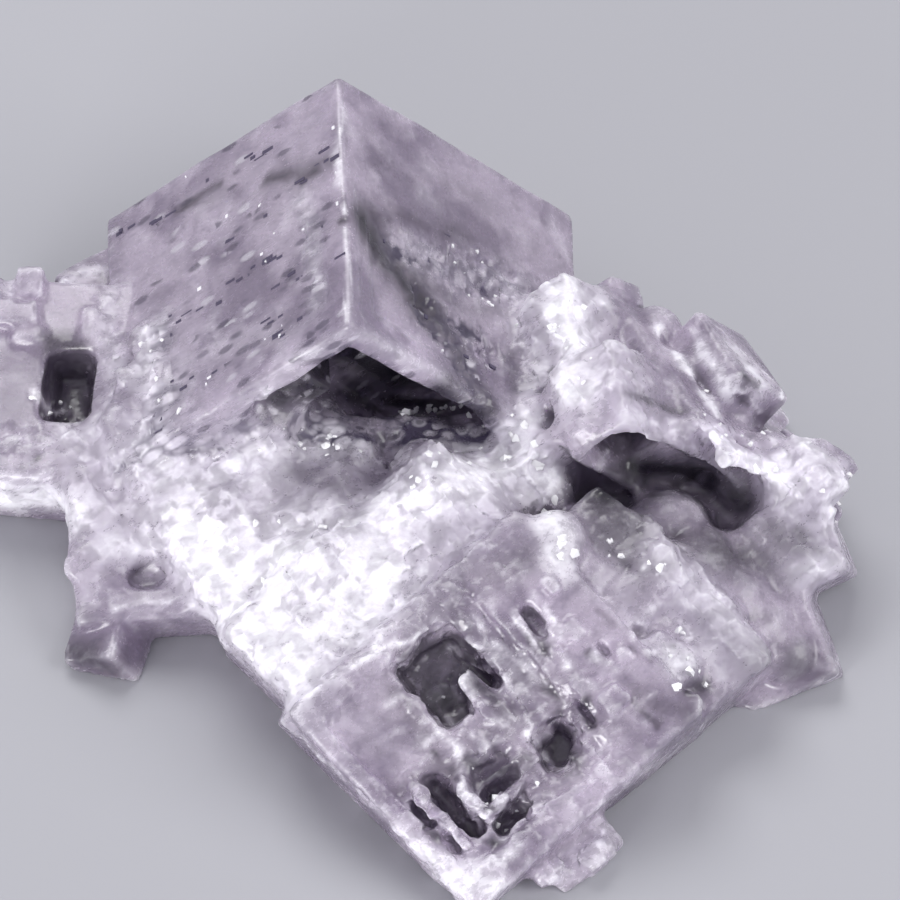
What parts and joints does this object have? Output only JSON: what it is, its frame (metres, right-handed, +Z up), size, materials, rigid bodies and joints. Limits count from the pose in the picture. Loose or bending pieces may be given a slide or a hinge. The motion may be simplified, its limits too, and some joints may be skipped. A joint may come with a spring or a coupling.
{
  "type": "halite crystal cluster",
  "caption": "Intergrown cubes of clear to milky rock salt with stepped hollow faces, one large cube standing on its edge behind a flat slab, on a flat broken base",
  "frame": {"origin": "on the flat broken base, under the middle of the cluster", "axes": "+Z up from the base, +X to the viewer's right with the slab of stepped pits towards the viewer, +Y back along the main cube's ridge"},
  "size_m": [0.0284, 0.0288, 0.0103],
  "materials": {
    "halite": "clear to milky grey-violet salt, smooth faces, sugary seams"
  },
  "bodies": {
    "root": {"halite_cluster": "halite"}
  },
  "joints": []
}
